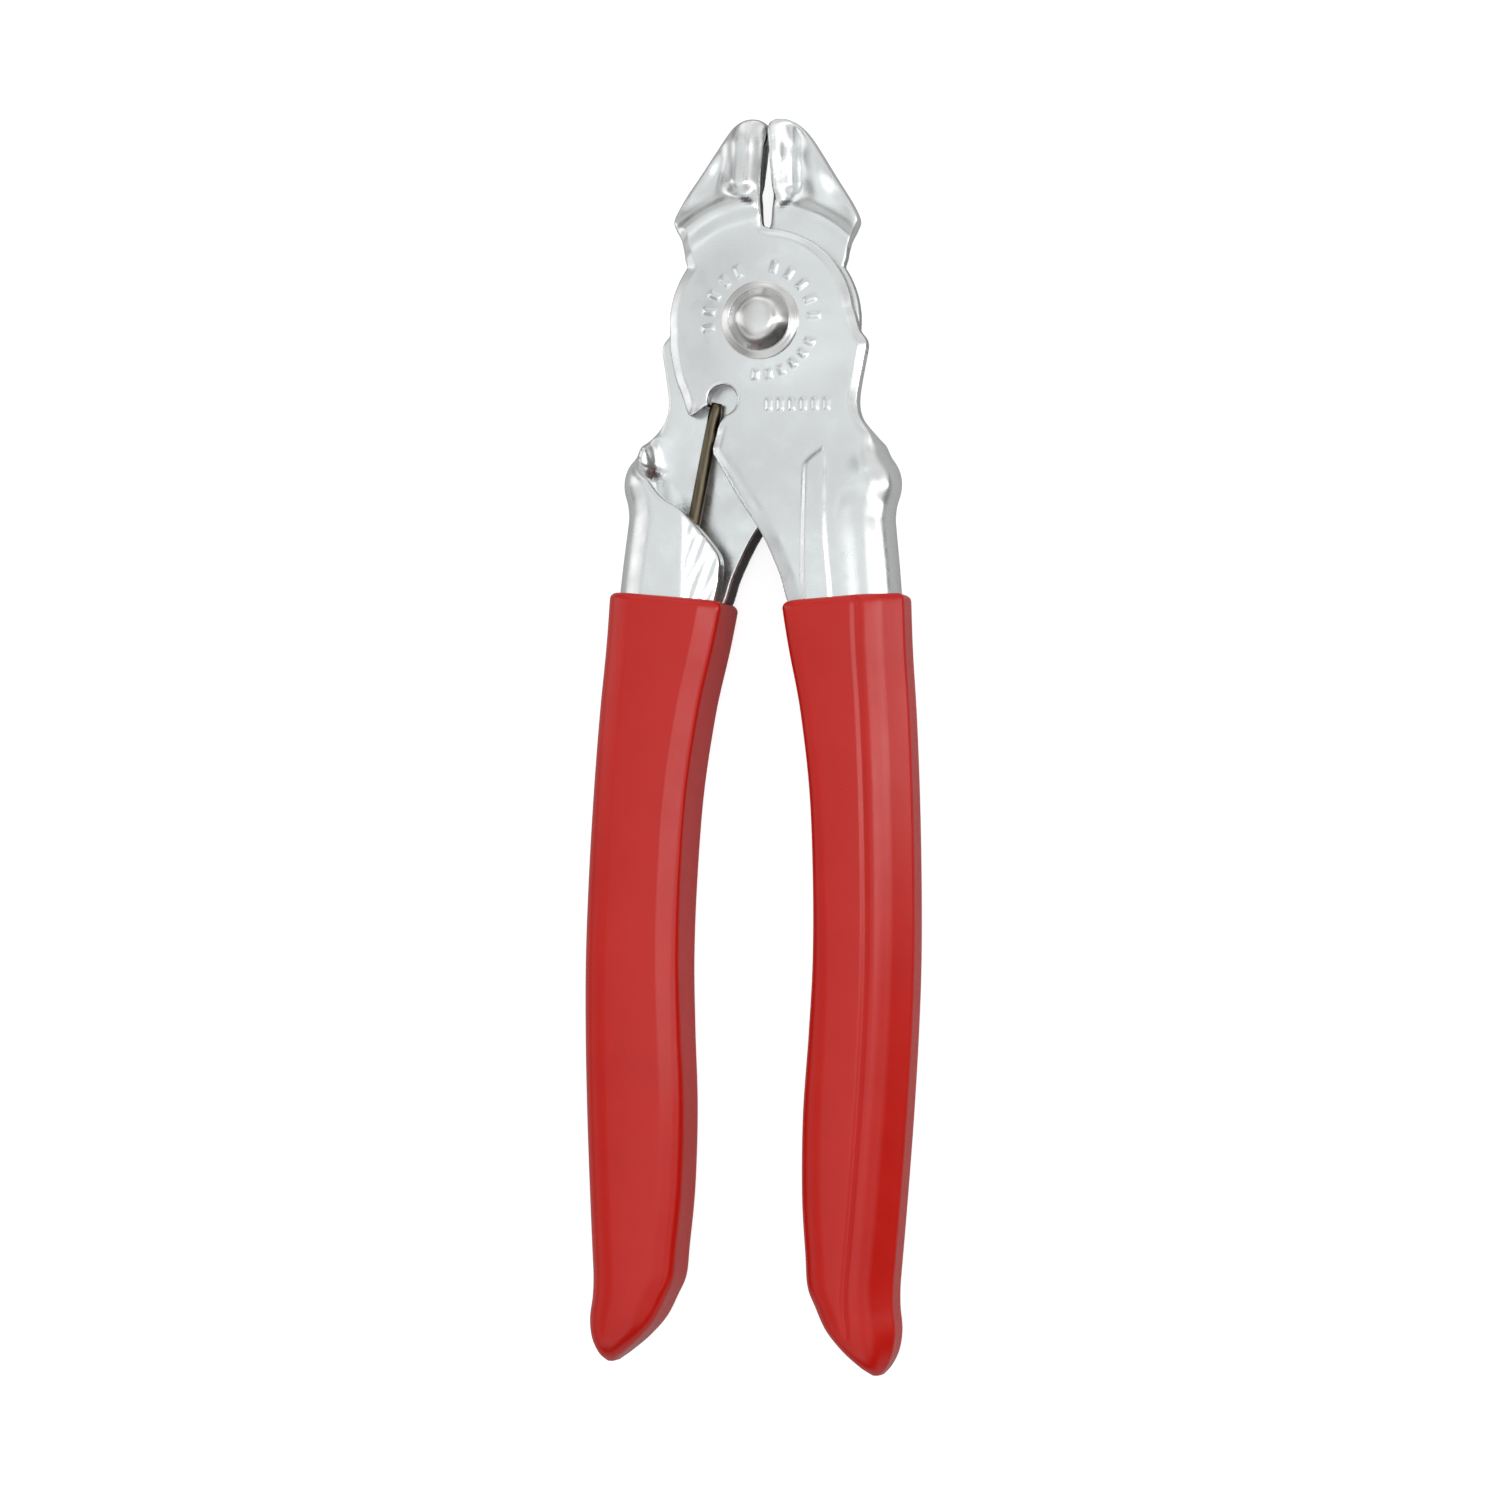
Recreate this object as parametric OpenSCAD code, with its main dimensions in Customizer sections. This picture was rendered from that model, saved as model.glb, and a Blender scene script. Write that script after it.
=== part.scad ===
// Hog ring pliers stamped from sheet metal, lying flat.
// Z is the pivot axis, +Y points to the jaws and z = 0 is the table under the tool.
// Both levers are the same stamping: the rear one is the front one turned over about Y.
// The lever is drawn with its z measured from the plane where the two plates meet.

/* [Sheet metal] */
// Thickness of the stamped sheet
sheet_t = 3.0; // [2.8:0.05:3.0]
// Gap between each plate and the plane where the plates meet
plate_gap = 0.05; // [0.03:0.01:0.1]
// Half depth of the handle channel
channel_h = 5.0; // [4.9:0.05:5.0]
// Outside radius of the fold along the handle's outer edge
fold_r = 4.4; // [4:0.1:4.6]
// Height that the stiffening rib stands above the sheet
rib_h = 0.35; // [0.2:0.05:0.4]

/* [Pivot] */
// Radius of the round plate around the pivot
disc_r = 14.2; // [14:0.1:14.3]
// Radius of the rivet's shank
shank_r = 3.2; // [2.5:0.1:4]
// Radial running clearance between the shank and the levers
shank_gap = 0.05; // [0.02:0.01:0.1]
// Radius of the rivet's domed heads
head_r = 5.0; // [4.6:0.1:5.5]
// Outside radius of the washers
washer_r = 6.0; // [5.6:0.1:7]
// Thickness of the washers
washer_t = 0.75; // [0.5:0.05:1]

/* [Handles] */
// Distance from the middle of the tool to the furthest point of a metal handle
handle_x = 24.45; // [24.2:0.05:24.6]
// Bow radius of the handle's outer edge
handle_bow = 552; // [500:1:600]
// Thickness of the dipped grip over the metal
vinyl_t = 1.2; // [1.2:0.05:1.5]

/* [Jaws] */
// Bow radius of the concave edge that faces the other jaw
lens_r = 23.8; // [20:0.1:30]
// How far that edge is hollowed at its middle
lens_depth = 1.4; // [1:0.1:1.6]
// Radius of the groove that holds the ring
groove_r = 1.2; // [1:0.05:1.3]

/* [Spring] */
// Radius of the spring wire
wire_r = 1.0; // [0.8:0.05:1.1]

/* [Hidden] */
$fn = 96;

// Height of the meeting plane above the table, set by the grips that rest on it
mid_h = channel_h + vinyl_t;
plate_top = plate_gap + sheet_t;
washer_z = plate_top + plate_gap;
head_z = washer_z + washer_t;
head_h = mid_h - head_z;

// The jaws start just outside the round plate of the other lever
nose_in_r = disc_r + 0.7;
// Plate-level rim of the jaw, where the sheet steps down into the nose
nose_rim_r = 18.7;
nose_floor = sheet_t / 2;
nose_wall = [2.1, -1.35];
nose_lip_w = 3.4;
tip_gap = 0.1;
lens_c = [lens_r - lens_depth - tip_gap, 22.6];

// Pocket for the free end of the spring
notch_c = [-5.85, -12.1];
notch_r = 2.35;

// Where the sheet begins and ends its gentle step out to the handle's face
step_y0 = -14;
step_y1 = -33;
step_h = channel_h - plate_top;

handle_mid_y = -94;
// The fold runs under the flat sheet by this much, and is this much thinner there
fold_lap = 2;
lap_drop = 0.05;
handle_top_y = -22.5;
handle_end_y = -156;
// The handle's flat shape runs from under the shoulder to past its slanted end
web_top = [[16, -18], [15.8, -24.6]];
fold_line_y = -30;
plan_end = [12, -158];
// Rounded shoulder where the fold begins
shoulder_c = [15.4, -24.6];
shoulder_r = 6.1;
rim_y = -42;
rim_bead = 0.8;

// The flange's inner lip starts here, and rises by this much at its far side
lip_x = 11.2;
lip_end_x = 5;
lip_rise = 1.6;

// Slanted end of the metal handle
slant_a = [11.75, -146.2];
slant_b = [18.65, -155.7];

// Right edge of the front plate from the round part down to the shoulder
outer_edge = [
    [14.5, 0.8], [15.2, -1.6], [16.1, -2.8], [16.4, -3.9], [16.2, -5.4], [15.7, -8.2],
    [15.25, -11.2], [15.25, -13.2], [15.7, -14.8], [16.5, -15.9], [17.6, -17.1],
    [19.2, -18.9], [20.4, -20.4]
];
// Inner edge of the handle, from its slanted end up to the corner below the notch
inner_edge = [
    [11.75, -146.2], [10.3, -131], [10.2, -122], [10.7, -112], [11.4, -98], [11.3, -82], [10.75, -72.5],
    [8.55, -57.3], [6.3, -46], [5.0, -42], [4.1, -39], [2.0, -34.4], [0.1, -31.2],
    [-3.0, -26.6], [-7.0, -20.4]
];
// Left edge of the plate: below the notch, round the tail and up to the round part
tail_edge = [
    [-6.9, -18.7], [-6.6, -16.8], [-5.9, -15.2], [-5.0, -13.8], [-8.2, -12.4],
    [-9.4, -13.7], [-11.1, -14.4], [-12.3, -11.6], [-13.3, -9.3], [-14.0, -7], [-14.6, -3.9]
];
// Free edge of the flange folded behind the handle, from the shoulder to the grip
flange_edge = [
    [21.5, -23.2], [19.3, -25.2], [17, -25.9], [14.3, -27.2], [11.4, -29.1], [9.2, -31.4],
    [6.7, -34.4], [5.5, -36.4], [5.6, -39], [6.0, -42]
];
// Outline of the jaw, from its tip round to the plate
nose_edge = [
    [-0.5, 30.8], [-1.6, 31.1], [-3.2, 31], [-4.8, 30.2], [-6.3, 28.7], [-7.8, 26.6],
    [-10.8, 21.8], [-13.4, 17.7], [-14.3, 15.6], [-13.9, 14.3], [-12.8, 12.6], [-12, 10.4]
];
rib_edge = [
    [9.1, -49], [7.9, -40.8], [7.7, -27.2], [7.6, -22.6], [8.2, -21.4], [9.9, -20],
    [10.6, -20.3], [10.9, -27], [11.3, -34], [12.2, -42], [12.5, -49]
];

// Ends of the spring wire: free in the notch, and against the fold inside the left handle
wire_top = [-7.1, -12.4, 1.1];
wire_end = [-20.3, -98, 0];
// How far the preloaded wire bows from a straight line
wire_sag = 0.8;

// Stations along a grip: y, inner edge, outer edge, half thickness
grip_stations = [
    [rim_y, 4.9, 22.5, mid_h - 0.5],
    [rim_y - rim_bead, 4.6, 23.1, mid_h],
    [-50, 5.9, 23.5, mid_h],
    [-60, 7.8, 24.3, mid_h],
    [-72, 9.4, 25, mid_h],
    [-85, 10.1, 25.5, mid_h],
    [-97, 10.2, 25.7, mid_h],
    [-108, 9.7, 25.5, mid_h],
    [-120, 9, 25, mid_h],
    [-132, 9.1, 24.3, mid_h],
    [-141, 9.8, 23.7, mid_h],
    [-145.5, 10.2, 23.4, mid_h],
    [-148.5, 11.4, 23.45, mid_h - 0.1],
    [-152, 13.2, 23.8, mid_h - 0.4],
    [-155, 15.8, 23.4, mid_h - 1.2],
    [-157.3, 18.4, 22.4, mid_h - 2.7],
    [-158.6, 20, 21.4, mid_h - 4.8]
];
grip_outer_r = 5.6;
grip_inner_r = 2.3;
grip_steps = 2;

function arc_points(r, a0, a1, n) =
    [for (i = [0 : n]) let (a = a0 + (a1 - a0) * i / n) r * [cos(a), sin(a)]];

// x of the metal handle's outer edge at a height y
function bow_x(y) = handle_x - handle_bow + sqrt(pow(handle_bow, 2) - pow(y - handle_mid_y, 2));

// Catmull-Rom point between stations i and i + 1
function smooth_at(list, i, t) =
    let (last = len(list) - 1,
        a = list[max(i - 1, 0)], b = list[i], c = list[min(i + 1, last)], d = list[min(i + 2, last)])
    0.5 * (2 * b + (c - a) * t + (2 * a - 5 * b + 4 * c - d) * pow(t, 2)
        + (3 * b - a - 3 * c + d) * pow(t, 3));

// Closed ring of one station: a rectangle with large outer and small inner corners
function corner(cx, cz, r, a0, n) =
    [for (i = [0 : n]) let (a = a0 + 90 * i / n) [cx + r * cos(a), cz + r * sin(a)]];
function grip_ring(s) =
    let (w = s[2] - s[1], h = min(s[3], mid_h),
        ro = min(grip_outer_r, h * 0.95, w * 0.6), ri = min(grip_inner_r, h * 0.6, w * 0.25))
    [for (p = concat(
        corner(s[2] - ro, h - ro, ro, 0, 5), corner(s[1] + ri, h - ri, ri, 90, 3),
        corner(s[1] + ri, ri - h, ri, 180, 3), corner(s[2] - ro, ro - h, ro, 270, 5)))
        [p[0], s[0], p[1]]];

// Flat shape of the handle's face and flange inside the fold, before its end is cut off
module handle_plan() {
    fold_line = [for (y = [fold_line_y : -16 : plan_end[1]]) [bow_x(y) - fold_r - fold_lap / 2, y]];
    polygon(concat(web_top, fold_line, [plan_end], inner_edge));
}

module nose_plan() {
    difference() {
        polygon(concat([[-tip_gap, 13.5], [-tip_gap, 30.3]], nose_edge, [[-11, 9.5]]));
        translate(lens_c) circle(r = lens_r, $fn = 180);
        circle(r = nose_in_r);
    }
}

module plate_plan() {
    round_right = arc_points(disc_r, 88, 8, 20);
    round_left = arc_points(disc_r + 0.4, 183, 145, 10);
    difference() {
        polygon(concat(round_right, outer_edge, [[16.8, -24], [2, -34.4], [0.1, -31.2],
            [-3, -26.6], [-7, -20.4]], tail_edge, round_left, [[-11.5, 10.4], [-3, 16], [-tip_gap, 14.6]]));
        translate(notch_c) circle(r = notch_r);
    }
}

// Band that the sheet keeps to, seen from the side: flat plate, gentle step, handle face
module sheet_band(raise = 0) {
    rotate([90, 0, 90])
        linear_extrude(height = 60, center = true)
            polygon([
                [32, plate_gap], [step_y0, plate_gap], [step_y1, plate_gap + step_h],
                [-160, plate_gap + step_h], [-160, channel_h + raise], [step_y1, channel_h + raise],
                [step_y0, plate_top + raise], [32, plate_top + raise]
            ]);
}

module slab(z0, z1) {
    translate([0, 0, z0]) linear_extrude(height = z1 - z0) children();
}

// Cross-section of the fold, drawn at a radius; lap is its overlap with the flat sheet
module fold_outside(r, lap = fold_lap) {
    lap_h = channel_h - lap_drop;
    translate([r - fold_r - lap, -lap_h]) square([lap, 2 * lap_h]);
    translate([r - fold_r, fold_r - channel_h]) square([fold_r, 2 * (channel_h - fold_r)]);
    for (side = [-1, 1])
        translate([r - fold_r, side * (channel_h - fold_r)]) circle(r = fold_r);
}

module fold_section(r, lap = fold_lap) {
    inner_r = fold_r - sheet_t;
    room_h = channel_h - sheet_t;
    lap_room_h = room_h + lap_drop;
    difference() {
        fold_outside(r, lap);
        translate([r - 2 * fold_r, -lap_room_h]) square([fold_r, 2 * lap_room_h]);
        translate([r - fold_r - 0.1, inner_r - room_h])
            square([inner_r + 0.1, 2 * (room_h - inner_r)]);
        for (side = [-1, 1])
            translate([r - fold_r, side * (room_h - inner_r)]) circle(r = inner_r);
    }
}

module along_bow(y_from, y_to) {
    a0 = asin((y_to - handle_mid_y) / handle_bow);
    a1 = asin((y_from - handle_mid_y) / handle_bow);
    translate([handle_x - handle_bow, handle_mid_y, 0])
        rotate([0, 0, a0])
            rotate_extrude(angle = a1 - a0, $fn = 720) children();
}

// Everything past the slanted end of the handle
module past_end() {
    run = slant_b - slant_a;
    slab(-10, 10)
        polygon([slant_a - run, slant_b + run, slant_b + 3 * [run[1], -run[0]], slant_a + 3 * [run[1], -run[0]]]);
}

// Fold along the handle's outer edge, cut off by the free edge of the flange
module fold() {
    difference() {
        union() {
            along_bow(handle_top_y, handle_end_y) fold_section(handle_bow);
            translate(concat(shoulder_c, [0]))
                rotate([0, 0, -35])
                    rotate_extrude(angle = 105)
                        intersection() {
                            fold_section(shoulder_r, shoulder_r - fold_r);
                            translate([0, -10]) square(20);
                        }
        }
        slab(-10, plate_gap) polygon(concat([[4, -10], [30, -10], [30, -19]], flange_edge, [[4, -42]]));
        above_step();
    }
}

// Room above the sloping step of the sheet
module above_step() {
    rotate([90, 0, 90])
        linear_extrude(height = 60)
            polygon([[step_y1, channel_h], [step_y0, plate_top], [step_y0, 10], [step_y1, 10]]);
}

// Flange behind the handle, with its inner lip turned towards the face
module flange() {
    lip = [
        [22, -channel_h], [lip_x, -channel_h], [lip_end_x, lip_rise - channel_h],
        [lip_end_x, lip_rise + sheet_t - channel_h], [lip_x, sheet_t - channel_h], [22, sheet_t - channel_h]
    ];
    intersection() {
        slab(-10, 0) difference() {
            handle_plan();
            polygon(concat([[-10, -10], [30, -10], [30, -19]], flange_edge, [[-10, -42]]));
        }
        translate([0, -10, 0]) rotate([90, 0, 0]) linear_extrude(height = 150) polygon(lip);
    }
}

module nose() {
    difference() {
        union() {
            slab(-nose_floor, nose_floor) nose_plan();
            slab(-nose_floor, plate_top) intersection() {
                nose_plan();
                circle(r = nose_rim_r);
            }
            slab(-nose_floor, plate_top) difference() {
                nose_plan();
                translate(nose_wall) nose_plan();
            }
            slab(-plate_top, plate_top) difference() {
                nose_plan();
                translate([-nose_lip_w, 0]) nose_plan();
                circle(r = nose_rim_r - 1);
            }
        }
        translate(concat(lens_c, [0]))
            rotate([0, 0, 155])
                rotate_extrude(angle = 50, $fn = 180) translate([lens_r, 0]) circle(r = groove_r, $fn = 48);
    }
}

module lever() {
    difference() {
        union() {
            intersection() {
                slab(-10, 10) plate_plan();
                sheet_band();
            }
            intersection() {
                slab(-10, 10) handle_plan();
                sheet_band();
            }
            intersection() {
                slab(-10, 10) polygon(rib_edge);
                sheet_band(rib_h);
            }
            fold();
            flange();
            nose();
        }
        past_end();
        cylinder(r = shank_r + shank_gap, h = 30, center = true);
    }
}

module at_mid() {
    translate([0, 0, mid_h]) children();
}

module turned_over() {
    rotate([0, 180, 0]) children();
}

module front_lever() {
    color("gainsboro") at_mid() lever();
}

module rear_lever() {
    color("silver") at_mid() turned_over() lever();
}

module pivot_rivet() {
    bulge = head_h - 0.5;
    dome = [for (a = [0 : 10 : 90]) [head_r - bulge + bulge * cos(a), head_z + 0.5 + bulge * sin(a)]];
    color("whitesmoke") at_mid()
        for (side = [0, 180])
            rotate([0, side, 0])
                rotate_extrude()
                    polygon(concat([[0, 0], [shank_r, 0], [shank_r, head_z], [head_r, head_z]], dome,
                        [[0, mid_h]]));
}

module washer() {
    translate([0, 0, washer_z])
        difference() {
            cylinder(r = washer_r, h = washer_t);
            translate([0, 0, -1]) cylinder(r = shank_r + shank_gap, h = washer_t + 2);
        }
}

module front_washer() {
    color("gainsboro") at_mid() washer();
}

module rear_washer() {
    color("silver") at_mid() turned_over() washer();
}

module return_spring() {
    run = wire_end - wire_top;
    chord = norm(run);
    bow_r = pow(chord / 2, 2) / (2 * wire_sag) + wire_sag / 2;
    half_angle = asin(chord / 2 / bow_r);
    color("darkolivegreen") at_mid()
        translate((wire_top + wire_end) / 2)
            rotate([0, asin(run[2] / chord), atan2(run[1], run[0])])
                translate([0, -bow_r * cos(half_angle), 0])
                    rotate([0, 0, 90 - half_angle])
                        rotate_extrude(angle = 2 * half_angle, $fn = 720)
                            translate([bow_r, 0]) circle(r = wire_r, $fn = 32);
}

// Dipped sleeve of the right handle
module grip() {
    last = len(grip_stations) - 1;
    stations = concat(
        [for (i = [0 : last - 1], k = [0 : grip_steps - 1]) smooth_at(grip_stations, i, k / grip_steps)],
        [grip_stations[last]]);
    rings = [for (s = stations) grip_ring(s)];
    n = len(rings[0]);
    rows = len(rings);
    walls = [for (j = [0 : rows - 2], i = [0 : n - 1]) let (a = j * n + i, b = j * n + (i + 1) % n)
        each [[a, b, b + n], [a, b + n, a + n]]];
    difference() {
        polyhedron(
            points = [for (ring = rings) each ring],
            faces = concat(
                [[for (i = [n - 1 : -1 : 0]) i]],
                walls,
                [[for (i = [0 : n - 1]) (rows - 1) * n + i]]));
        difference() {
            union() {
                along_bow(rim_y + 2, handle_end_y) fold_outside(handle_bow);
                slab(-channel_h, channel_h) intersection() {
                    handle_plan();
                    translate([0, -200]) square([40, 200 + rim_y + 2]);
                }
            }
            past_end();
        }
    }
}

module right_grip() {
    color("firebrick") at_mid() grip();
}

module left_grip() {
    color("firebrick") at_mid() turned_over() grip();
}

front_lever();
rear_lever();
pivot_rivet();
front_washer();
rear_washer();
return_spring();
left_grip();
right_grip();
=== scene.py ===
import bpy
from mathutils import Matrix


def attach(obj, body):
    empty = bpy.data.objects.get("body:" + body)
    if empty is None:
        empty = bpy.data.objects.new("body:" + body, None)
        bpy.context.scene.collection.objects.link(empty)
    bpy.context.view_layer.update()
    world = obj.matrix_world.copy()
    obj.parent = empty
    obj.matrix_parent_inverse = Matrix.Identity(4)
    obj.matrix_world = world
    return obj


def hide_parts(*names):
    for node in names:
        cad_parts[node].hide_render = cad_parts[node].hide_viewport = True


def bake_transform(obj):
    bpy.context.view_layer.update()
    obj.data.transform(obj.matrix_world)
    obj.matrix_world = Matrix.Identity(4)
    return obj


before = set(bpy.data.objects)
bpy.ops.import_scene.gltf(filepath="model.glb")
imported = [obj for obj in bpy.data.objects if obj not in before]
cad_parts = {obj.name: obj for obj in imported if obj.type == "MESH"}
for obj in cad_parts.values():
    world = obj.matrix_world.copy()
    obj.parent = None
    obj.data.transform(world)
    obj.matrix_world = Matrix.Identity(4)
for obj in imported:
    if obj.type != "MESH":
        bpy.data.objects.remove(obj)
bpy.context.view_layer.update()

import math

import bmesh
import bpy
import numpy as np
import openvdb
from mathutils import Matrix, Vector

MM = 0.001
VOXEL = 0.2
# Stands in a distance field for a surface that isn't there
FAR = 50

# Driving sizes of the stamping, in millimetres. Lever heights are measured from the plane
# where the two plates meet, which is MID_H above the table.
MID_H = 6.2
PLATE_GAP = 0.05
SHEET_T = 3.0
HALF_T = SHEET_T / 2
CHANNEL_H = 5.0
FACE_Z = CHANNEL_H - HALF_T
PLATE_Z = PLATE_GAP + HALF_T
FOLD_R = 4.7
LIP_SLOPE_X = 11.3
FOLD_MID_R = FOLD_R - HALF_T
HANDLE_X = 24.45
HANDLE_BOW = 552.0
HANDLE_MID_Y = -94.0
SHOULDER = (15.4, -24.6)
SHOULDER_R = 1.7
DISC_R = 14.2

LENS_R = 60.0
LENS_DEPTH = 0.55
LENS_Y = 20.8
TIP_GAP = 0.1
GROOVE_R = 0.45
NOTCH = (-5.85, -12.1)
NOTCH_R = 2.35
BORE_R = 3.25
SLANT_A = (11.75, -146.2)
SLANT_B = (18.65, -155.7)

OUTER_EDGE = [
    (14.5, .8), (15.2, -1.6), (16.1, -2.8), (16.4, -3.9), (16.2, -5.4), (15.7, -8.2), (15.25, -11.2),
    (15.25, -13.2), (15.7, -14.8), (16.5, -15.9), (17.6, -17.1), (19.2, -18.9), (20.4, -20.4), (23, -22)]
INNER_EDGE = [
    (12.6, -146.2), (11.4, -131), (11.3, -122), (11.7, -112), (12.2, -98), (12.1, -82), (11.5, -72.5),
    (8.8, -57.3), (6.3, -46), (5, -42), (4.1, -39), (2, -34.4), (.1, -31.2), (-3, -26.6), (-7, -20.4)]
CORNER_EDGE = [(-7.1, -19.4), (-6.6, -16.8), (-5.9, -15.2)]
TAIL_EDGE = [
    (-8.6, -13.1), (-9.4, -13.7), (-11.1, -14.4), (-12.3, -11.6), (-13.3, -9.3), (-14, -7), (-14.6, -3.9)]
JAW_EDGE = [
    (-12.4, 9.6), (-12.8, 12.4), (-13.9, 14.3), (-14.3, 15.6), (-13.4, 17.7), (-10.8, 21.8), (-7.8, 26.6),
    (-6.3, 28.7), (-4.8, 30.2), (-3.2, 31), (-1.6, 31.1), (-.5, 30.6), (-.12, 29.8)]
FLANGE_EDGE = [
    (17, -23.8), (16, -25.3), (14.3, -27.2), (11.4, -29.1), (9.2, -31.4), (6.7, -34.4), (5.6, -36.4),
    (5.6, -39), (6, -42), (9, -57.3), (11.9, -72.5), (12.6, -82), (12.7, -98), (12.1, -112),
    (11.7, -122), (11.8, -131), (12.9, -146.2)]
RIB_EDGE = [
    (9.1, -49), (7.9, -40.8), (7.7, -27.2), (7.6, -22.6), (8.2, -21.4), (9.9, -20), (10.6, -20.3),
    (10.9, -27), (11.3, -34), (12.2, -42), (12.5, -49)]

# Plain stamped bars on the outer face: rings as radius, half length and angles, and one straight row
BAR_RINGS = [(8.3, 0.85, (188, 170, 152, 134, 116)), (8.3, 0.85, (76, 58, 40, 22, 4)),
             (8.4, 0.65, (-24, -38, -52, -66, -80, -94))]
BAR_ROW = (1.6, 3.4, 5.2, 7.0, 8.8, 10.6)
BAR_ROW_Y = -12.9
BAR_HALF_W = 0.42
BAR_H = 0.17

# The jaw's sheet: a ridge round the disc, a drop beyond it, a curled rim, a bulge over the ring groove,
# a lip along the parting edge and a hollow beside the bulge
RIDGE_R = 18.2
RIDGE_H = 0.3
NEAR_DROP = 0.4
FAR_DROP = 1.2
CURL_H = 0.6
BULGE_X = -3.7
BULGE_Y = 18.2
BULGE_W = 2.0
BULGE_H = 1.8
LIP_H = 0.6
HOLLOW_AT = (-7.5, 22)
HOLLOW_H = 0.35

# Relief of the outer face
RIB_H = 0.3
DOME_H = 0.55
COIN_H = 0.3
COIN_W = 2.6
ROLL_H = 0.42
ROLL_W = 1.5
DROOP_H = 0.45
UNDERCUT = 0.9

# Where the field is sampled, and the boxes inside it that are blurred: low corner, high corner, passes
GRID_LOW = (-15.6, -158.6, -5.8)
GRID_HIGH = (26, 32.4, 6)
SOFT_BOXES = [
    ((11.5, -35, -5.8), (26, -14.5, 6), 6), ((13, -28, -5.8), (26, -14.5, 6), 8),
    ((-15.6, 13.5, -5.8), (1.5, 32.4, 6), 4)]
SOFT_FADE = 2.5

# Bare steel and painted shade show where the surface lies deeper than this inside the sheet's own skin
BARE_AND_SHADE_FROM = 0.15
BARE_AND_SHADE_OVER = 0.35

# Rivet and washers, each the same on both sides
HEAD_R = 4.9
HEAD_TOP = MID_H - 0.02
HEAD_FLANK_R = 3
SHANK_R = 3.2
WASHER_R = 6.0
WASHER_LOW = 3.1
WASHER_HIGH = 3.85
WASHER_EDGE_R = 0.22

# Spring wire, from the notch to its end inside the handle
WIRE_TOP = (-7.1, -12.4, 1.1)
WIRE_END = (-20.3, -98.0, 0.0)
WIRE_SAG = 0.8
WIRE_R = 1.0

# Stations along a grip: y, inner edge, outer edge, half thickness
GRIP_STATIONS = [
    (-42.5, 4.6, 23.1, 6.2), (-50, 5.9, 23.5, 6.2), (-60, 7.8, 24.3, 6.2),
    (-72, 9.4, 25, 6.2), (-85, 10.1, 25.5, 6.2), (-97, 10.2, 25.7, 6.2), (-108, 9.7, 25.5, 6.2),
    (-120, 9, 25, 6.2), (-132, 9.1, 24.3, 6.2), (-141, 9.8, 23.7, 6.2), (-145.5, 10.2, 23.4, 6.2),
    (-148.5, 11.4, 23.45, 6.1), (-152, 13.2, 23.8, 5.8), (-155, 15.8, 23.4, 5), (-157.3, 18.4, 22.4, 3.5),
    (-158.6, 20, 21.4, 1.4)]
GRIP_RIM_R = 1.1
GRIP_OUTER_R = 5.6
GRIP_INNER_R = 2.0
GRIP_EDGE_R = 0.9
GRIP_RIDGE_R = 1.2
GRIP_BEVEL = 3.6
GRIP_BEVEL_H = 0.75
GRIP_SLOPE = 4.4
GRIP_SLOPE_R = 5.0
GRIP_CROWN = 0.06
GRIP_CREASE = 0.3
GRIP_RIM_SLANT = 1.5


# ---------------------------------------------------------------- curves and distances

def smooth_path(points, steps=5):
    """Catmull-Rom curve through the points."""
    p = np.array(points, float)
    last = len(p) - 1
    a, b, c, d = p[np.r_[0, 0:last - 1]], p[:-1], p[1:], p[np.r_[2:last + 1, last]]
    t = (np.arange(steps) / steps)[:, None, None]
    q = 0.5 * (2 * b + (c - a) * t + (2 * a - 5 * b + 4 * c - d) * t ** 2
               + (3 * b - a - 3 * c + d) * t ** 3)
    return np.vstack([q.transpose(1, 0, 2).reshape(-1, p.shape[1]), p[-1:]])


def arc(centre, r, a0, a1, n=24):
    a = np.radians(np.linspace(a0, a1, n + 1))
    return np.column_stack([centre[0] + r * np.cos(a), centre[1] + r * np.sin(a)])


def ease(t):
    t = np.clip(t, 0, 1)
    return t * t * (3 - 2 * t)


def bell(*offsets):
    return np.exp(-sum(offset ** 2 for offset in offsets))


def along_path(x, y, points):
    """Distance to an open path, positive on its left, and the length along the path."""
    best = np.full(x.shape, 1e9)
    side = np.ones(x.shape)
    along = np.zeros(x.shape)
    run = 0.0
    for (ax, ay), (bx, by) in zip(points[:-1], points[1:]):
        ex, ey = bx - ax, by - ay
        length = math.hypot(ex, ey)
        t = np.clip(((x - ax) * ex + (y - ay) * ey) / length ** 2, 0, 1)
        d = np.hypot(x - ax - t * ex, y - ay - t * ey)
        near = d < best - 1e-12
        best[near] = d[near]
        side[near] = np.sign((y - ay) * ex - (x - ax) * ey)[near]
        along[near] = run + t[near] * length
        run += length
    return best * side, along


def outline_distance(x, y, points):
    """Signed distance to a closed outline, negative inside."""
    pts = np.vstack([points, points[:1]])
    best = np.full(x.shape, 1e9)
    inside = np.zeros(x.shape, bool)
    for (ax, ay), (bx, by) in zip(pts[:-1], pts[1:]):
        ex, ey = bx - ax, by - ay
        length2 = ex * ex + ey * ey
        if length2 < 1e-9:
            continue
        t = np.clip(((x - ax) * ex + (y - ay) * ey) / length2, 0, 1)
        best = np.minimum(best, (x - ax - t * ex) ** 2 + (y - ay - t * ey) ** 2)
        if ay != by:
            inside ^= ((ay > y) != (by > y)) & (x < ax + (y - ay) * ex / ey)
    return np.where(inside, -1, 1) * np.sqrt(best)


def round_max(a, b, r):
    """Intersection of two distances with its edge rounded to radius r."""
    return np.minimum(np.maximum(a, b), -r) + np.hypot(np.maximum(a + r, 0), np.maximum(b + r, 0))


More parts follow.
